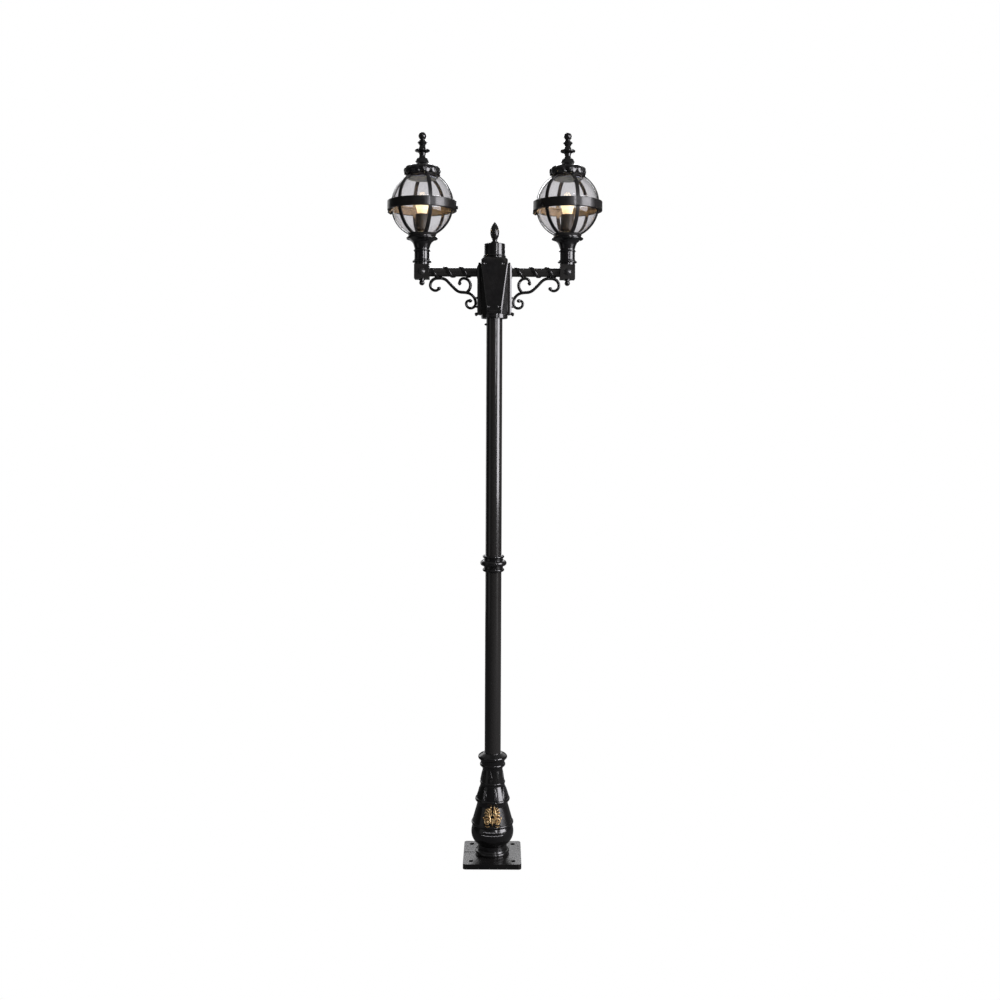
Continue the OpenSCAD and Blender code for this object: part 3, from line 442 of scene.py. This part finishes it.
def arc_path(start, arcs):
    """Points [x, z, heading in degrees] along tangent arcs. Each arc is (radius, turn), left positive."""
    x, z, heading = start
    path = [start]
    for radius, turn in arcs:
        reach = math.copysign(radius * MM, turn)
        steps = max(2, math.ceil(abs(math.radians(turn)) * radius * MM / BAR_STEP))
        from_x = x - reach * math.sin(math.radians(heading))
        from_z = z + reach * math.cos(math.radians(heading))
        for k in range(1, steps + 1):
            h = heading + turn * k / steps
            path.append((from_x + reach * math.sin(math.radians(h)),
                         from_z - reach * math.cos(math.radians(h)), h))
        x, z, heading = path[-1]
    return path


def clean_copy(node):
    """A bmesh of a CAD node, with its flat faces whole."""
    bm = bmesh.new()
    bm.from_mesh(nodes[node].data)
    bmesh.ops.remove_doubles(bm, verts=bm.verts, dist=2e-6)
    bmesh.ops.dissolve_limit(bm, angle_limit=math.radians(0.5), verts=bm.verts, edges=bm.edges)
    return bm


def refine(node, width, sharp=32, shortest=2.2, clamp=True):
    """Replaces a CAD node by the same shape with its long sharp edges rounded. shortest is in widths."""
    bm = clean_copy(node)
    edges = [e for e in bm.edges if len(e.link_faces) == 2
             and e.calc_face_angle(0) > math.radians(sharp)
             and e.calc_length() > shortest * width]
    bmesh.ops.bevel(bm, geom=edges, offset=width, offset_type="OFFSET", segments=3, profile=0.5,
                    affect="EDGES", clamp_overlap=clamp)
    body = nodes[node]["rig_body"]
    piece = add_piece(node + "_casting", bm, body, SLOTS[node], material_of(node), crease=40)
    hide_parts(node)


def bevel_cover(node, facing):
    """Replaces a cover by the same shape with a broad shallow bevel round its outer face."""
    inset, depth = 2.7 * MM, 1.8 * MM
    bm = clean_copy(node)
    front = max(v.co.y * facing for v in bm.verts)
    bmesh.ops.bisect_plane(bm, geom=bm.verts[:] + bm.edges[:] + bm.faces[:],
                           plane_co=(0, facing * (front - depth), 0), plane_no=(0, 1, 0))
    bm.normal_update()

    def at(vert, y):
        return abs(vert.co.y * facing - y) < 0.01 * MM

    # The outline's loop on the outer face moves in, and its twin at the bevel's depth stays
    rim = {v for v in bm.verts
           if at(v, front) and any(at(e.other_vert(v), front - depth) for e in v.link_edges)}
    moves = {}
    for vert in rim:
        sides = [f.normal for e in vert.link_edges if e.other_vert(vert) in rim
                 and len([f for f in e.link_faces if abs(f.normal.y) > 0.9]) == 1
                 for f in e.link_faces if abs(f.normal.y) < 0.9]
        if len(sides) == 2:
            moves[vert] = (sides[0] + sides[1]) / (1 + sides[0].dot(sides[1]))
    for vert, out in moves.items():
        vert.co -= inset * out
    body = nodes[node]["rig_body"]
    piece = add_piece(node + "_plate", bm, body, SLOTS[node], material_of(node), crease=20)
    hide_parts(node)


# ---------- scrolls under the arms ----------

S_ARCS = ((48, 48), (600, -5), (48, -40), (300, 4), (50, 83), (23.5, 90), (21.5, 90), (14, 150))
OUTER_ARCS = ((500, -3), (33, -87), (25, -90), (17, -100))
INNER_ARCS = ((43, -61), (32, -90), (19, -90), (14, -55))


def scroll_bar(shape, side, path, half_w, half_d, bulb):
    """A rounded bar along the path that thins towards a bulb at its tip."""
    total = len(path) - 1
    tip = 0.2 * MM
    rings = []
    for i, (x, z, heading) in enumerate(path):
        to_go = (total - i) * BAR_STEP
        full = min(1, (total - i) / total * 1.6)
        w = half_w * (0.84 + 0.16 * full)
        d = half_d * (0.86 + 0.14 * full)
        if to_go < 2 * bulb:
            swell = bulb * math.sqrt(max(0.0, 1 - ((to_go - bulb) / bulb) ** 2))
            w = max(w if to_go > bulb else tip, swell)
            d = max(d if to_go > bulb else tip, swell * 1.1)
        a = math.radians(heading)
        rings.append([Vector((side * (x - u * math.sin(a)), v, z + u * math.cos(a)))
                      for u, v in superellipse(w, d)])
    shape.loft(rings)


def make_scroll(name, side):
    """An S-shaped main bar with an outer and an inner curl."""
    shape = Shape()
    half_w, half_d, bulb = 7.4 * MM, 7.8 * MM, 9.5 * MM
    start_z = ARM_Z - ARM_R - 7.3 * MM
    bars = (((256 * MM, start_z, 180), S_ARCS), ((246 * MM, start_z, 0), OUTER_ARCS),
            ((136 * MM, start_z - 70 * MM, 151), INNER_ARCS))
    for start, arcs in bars:
        scroll_bar(shape, side, arc_path(start, arcs), half_w, half_d, bulb)
    # Pads on the backplate: distance from the post's axis in mm, and how wide the pad is there
    pad = ((81.3, 1.0), (82.2, 1.12), (83.8, 1.08), (85, 0.9), (94, 0.9))
    for above_foot in (55 * MM, 97 * MM):
        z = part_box("head_casing")[0].z + above_foot
        shape.loft([[Vector((side * x * MM, v, z + u))
                     for u, v in superellipse(grow * 5 * MM, grow * 6.6 * MM)] for x, grow in pad])
    piece = add_piece(name + "_scroll_bars", shape, "post", "cast_black")
    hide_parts(name + "_scroll")


# ---------- ribbons round the arms ----------

# Where each ribbon starts: x of its edge, and its angle round the arm in degrees
RIBBON_START = {"left": (-0.306, 49), "right": (0.085, 345)}


def make_ribbon(name):
    """A raised band wound round the arm, fading at both ends."""
    x0, phase = RIBBON_START[name]
    half_w, height, pitch, turns, steps = 9 * MM, 5.5 * MM, 73 * MM, 2.72, 260
    # Across the ribbon, from -1 to 1, and out from the arm, as a share of its height
    foot = 0.12
    crest = [(u / 5, 0.55 + 0.45 * math.sqrt(1 - (u / 5) ** 2)) for u in range(-4, 5)]
    section = [(-1, -foot), (-1, 0.18), *crest, (1, 0.18), (1, -foot)]
    shape = Shape()
    rings = []
    for i in range(steps + 1):
        s = i / steps
        a = math.radians(phase + 360 * turns * s)
        fade = min(1.0, 0.08 + min(s, 1 - s) * 16)
        ring = []
        for u, h in section:
            r = ARM_R + (height * h * fade if h > 0 else height * h)
            ring.append(Vector((x0 + half_w + pitch * turns * s + u * half_w * (0.55 + 0.45 * fade),
                                -r * math.sin(a), ARM_Z + r * math.cos(a))))
        rings.append(ring)
    shape.loft(rings)
    piece = add_piece(name + "_ribbon", shape, "post", "cast_black", crease=60)
    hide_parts(name + "_arm_ribbon")


# ---------- leafy crowns ----------

# Half outline of the crown, top to bottom: radius and height in mm above its foot, and how lobed it is there
CROWN = ((2, 76, 0), (26.4, 76, 0), (27, 75.2, 0), (29, 71.5, 0), (30.5, 67, 0), (32.6, 63, 0), (34.5, 57, 0),
         (38, 52.5, 0), (46, 48, 0), (56, 43.5, 0.1), (66, 40, 0.3), (75, 37.5, 0.6), (81, 33.5, 0.85),
         (85.5, 27.5, 1), (87.8, 20, 1), (88, 12, 1), (86.8, 5, 1), (84.6, -1, 1), (81.8, -4.6, 0.9),
         (79, -4.4, 0.7), (77.5, -1.5, 0.4), (76.8, 1.2, 0), (76, 1.2, 0), (70, 0.3, 0), (2, 0.3, 0))
LOBES = 11


def make_crown(name):
    """A crown whose rim breaks up into curled leaves."""
    turn, widest = TURN[name], 88.4
    x0, z0 = LANTERN_X[name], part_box(name + "_crown")[1].z - CROWN[0][1] * MM
    shape = Shape()
    steps = LOBES * 24
    rings = []
    for k in range(steps):
        a = 2 * math.pi * k / steps
        size = 1 + 0.25 * math.sin(4 * a + 1.1)
        ring = []
        for r, z, lobed in CROWN:
            # Leaves of uneven width that lean over and curl at their lips
            b = a * LOBES / 2 + 0.35 * math.sin(3 * a + 0.7) + 0.2 * math.sin(5 * a) + 0.016 * z
            wave = abs(math.cos(b))
            valley = 1 - wave ** 0.8
            vein = max(0.0, 1 - abs(math.sin(b)) / 0.25) * 1.2
            curl = math.sin(z * 0.24 + 1.6 + 1.3 * math.sin(6 * a)) * wave
            r_here = min(widest, r - lobed * (5.5 * valley * size + vein - 1.6 * curl))
            z_here = z + (lobed * 7.0 * valley * size if z < 12 else -lobed * 2.5 * valley)
            ring.append(Vector((x0 + r_here * MM * math.cos(a + turn), r_here * MM * math.sin(a + turn),
                                z0 + z_here * MM)))
        rings.append(ring)
    shape.loft(rings, loop=True)
    piece = add_piece(name + "_crown_leaves", shape, name + "_lid", "cast_black")
    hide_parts(name + "_crown")


# ---------- ornament on the pedestal ----------

pedestal = nodes["base_pedestal"]
PEDESTAL_R = 0.085      # about half way up, a first guess at the radius


def on_pedestal(u, z, height):
    """The point at arc length u from the front centre line, at height z, this far out from the surface."""
    theta = u / PEDESTAL_R
    for _ in range(2):
        out = Vector((math.sin(theta), -math.cos(theta), 0))
        _, place, normal, _ = pedestal.ray_cast(Vector((0, 0, z)) + out * 0.2, -out)
        theta = u / math.hypot(place.x, place.y)
    if normal.dot(out) < 0:
        normal = -normal
    return place + normal * height


def stroke(shape, spine, widths, height):
    """A rounded relief line along a spine of (u, z) in mm. widths are half widths at its points."""
    line = smooth_line(spine, 5)
    wide = smooth_line([(w, 0) for w in widths], 5)
    across = (-1, -0.82, -0.5, 0, 0.5, 0.82, 1)
    rings = []
    for i, (u, z) in enumerate(line):
        before, after = line[max(0, i - 1)], line[min(len(line) - 1, i + 1)]
        du, dz = after[0] - before[0], after[1] - before[1]
        size = math.hypot(du, dz) or 1
        nu, nz = -dz / size, du / size
        w = max(0.15, wide[i][0])
        tall = height * (0.35 + 0.65 * min(1, w / max(widths)))
        top = [on_pedestal((u + nu * w * t) * MM, (z + nz * w * t) * MM, tall * (1 - t * t) ** 0.6 * MM)
               for t in across]
        low = [on_pedestal((u + nu * w * t) * MM, (z + nz * w * t) * MM, -1 * MM) for t in (1, 0, -1)]
        rings.append(top + low)
    shape.loft(rings)


def smooth_line(points, cuts):
    """Catmull-Rom line through the points, with this many steps between neighbours."""
    line = []
    last = len(points) - 1
    for i in range(last):
        p0, p1, p2, p3 = (points[max(0, i - 1)], points[i], points[i + 1], points[min(last, i + 2)])
        for k in range(cuts):
            t = k / cuts
            line.append(tuple(0.5 * (2 * b + (c - a) * t + (2 * a - 5 * b + 4 * c - d) * t * t
                                     + (3 * b - a - 3 * c + d) * t ** 3)
                              for a, b, c, d in zip(p0, p1, p2, p3)))
    line.append(tuple(points[last]))
    return line


def dome(shape, u, z, radius, height):
    """A round boss on the pedestal, all in mm."""
    around = 14
    angles = [2 * math.pi * k / around for k in range(around)]
    rings = []
    for share, rise in ((1.0, -0.4), (1.0, 0.12), (0.93, 0.42), (0.75, 0.72), (0.5, 0.91), (0.22, 1.0)):
        r = radius * share
        rings.append([on_pedestal((u + r * math.cos(a)) * MM, (z + r * math.sin(a)) * MM, height * rise * MM)
                      for a in angles])
    shape.loft(rings)


# Leaves on one half of the spray: spine in mm out from its middle and up from its foot, and half width
CREST_LEAVES = (
    ([(14, 38), (24, 46), (32, 44), (37, 37)], 4.4),
    ([(15, 47), (25, 57), (33, 58), (38, 52)], 4.2),
    ([(14, 57), (22, 68), (29, 70), (33, 66)], 3.8),
    ([(11, 67), (17, 76), (23, 78)], 3.0),
    ([(12, 42), (6, 48), (2, 57)], 3.2),
    ([(14, 55), (7, 61), (3, 70)], 2.8),
    ([(34, 27), (41, 31), (42.5, 39)], 3.2),
    ([(14, 2), (24, -1), (34, 2)], 2.8),
)


def make_crest():
    """Gilt spray of two mirrored leaf scrolls."""
    shape = Shape()
    foot = 180
    for side in (-1, 1):
        def mirrored(points):
            return [(side * u, foot + z) for u, z in points]

        eye_u, eye_z = 24, 20
        spiral = [(eye_u + (16.5 - 1.1 * k) * math.cos(math.radians(200 - 48 * k)),
                   eye_z + (16.5 - 1.1 * k) * math.sin(math.radians(200 - 48 * k))) for k in range(11)]
        stroke(shape, mirrored(spiral), [2.8, 3.6, 3.9, 3.8, 3.6, 3.4, 3.1, 2.8, 2.6, 2.4, 2.2], 5.2)
        dome(shape, side * eye_u, foot + eye_z, 5.4, 6.0)
        stem = [(5, 15), (8, 30), (14, 42), (15.5, 54), (12, 66), (8.5, 76), (8, 82)]
        stroke(shape, mirrored(stem), [1.6, 3.4, 4.6, 4.8, 4.0, 3.0, 1.4], 5.6)
        dome(shape, side * 8, foot + 82, 4.4, 5.2)
        for spine, width in CREST_LEAVES:
            stroke(shape, mirrored(spine), [1.2] + [width] * (len(spine) - 2) + [0.9], 4.8)
    dome(shape, 0, foot + 31, 5.2, 6.0)
    stroke(shape, [(0, foot + 25), (0, foot + 15), (0, foot + 4)], [2.8, 3.8, 1.0], 4.6)
    piece = add_piece("crest_spray", shape, "post", "gilt")
    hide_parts("crest_ornament")


def make_pearls():
    """Two generic rows of pearls and dashes under the crest, coloured pale as a painted highlight."""
    shape = Shape()
    for z, count, reach in ((152, 13, 40), (138, 16, 50)):
        for k in range(count):
            u = -reach + 2 * reach * k / (count - 1)
            if k % 3:
                dome(shape, u, z, 2.1, 1.9)
            else:
                stroke(shape, [(u - 2.4, z), (u, z), (u + 2.4, z)], [1.2, 1.6, 1.2], 1.6)
    # The pale paint on the pearls is a painted highlight
    add_piece("pearl_rows", shape, "post", "white_enamel")


def make_relief():
    """Low upright leaves on the neck and the upper cone of the pedestal."""
    shape = Shape()
    count = 8
    for low, high, width, turn, radius in ((368, 418, 10, -12, 51), (291, 343, 11, 10, 66)):
        z = [low + (high - low) * share for share in (0, 0.2, 0.42, 0.65, 0.85, 1)]
        for k in range(count):
            a = math.radians(turn + 360 * k / count)
            u = radius * ((a + math.pi) % (2 * math.pi) - math.pi)
            stroke(shape, [(u, h) for h in z], [width * w for w in (0.5, 0.9, 1, 0.75, 0.42, 0.08)], 1.5)
            stroke(shape, [(u, h) for h in z[:5]], [1.3, 1.2, 1.1, 1.0, 0.5], 2.6)
    add_piece("pedestal_leaves", shape, "post", "cast_black")


def make_seam():
    """The thin weld across the left half of the plate's top."""
    shape = Shape()
    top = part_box("base_plate")[1].z
    start_x, length, steps = -134 * MM, 55 * MM, 24
    section = ((-1, -0.3), (-0.8, 0.7), (0, 1.2), (0.8, 0.7), (1, -0.3))
    rings = []
    for k in range(steps + 1):
        x = start_x + length * k / steps
        y = (4 + 0.6 * math.sin(k * 1.7)) * MM
        w = (1.7 + 0.3 * math.sin(k * 2.3)) * MM
        rings.append([Vector((x, y + w * u, top + h * MM)) for u, h in section])
    shape.loft(rings)
    add_piece("plate_seam", shape, "post", "cable")


for name, side in SIDES.items():
    make_scroll(name, side)
    make_ribbon(name)
    make_crown(name)
make_crest()
make_pearls()
make_relief()
make_seam()
bevel_cover("front_cover", -1)
bevel_cover("rear_cover", 1)
refine("head_casing", 2.8 * MM, shortest=18, clamp=False)
for node, width in (("left_backplate", 2.6), ("right_backplate", 2.6),
                    ("left_end_block", 1.8), ("right_end_block", 1.8), ("base_plate", 4.5)):
    refine(node, width * MM)
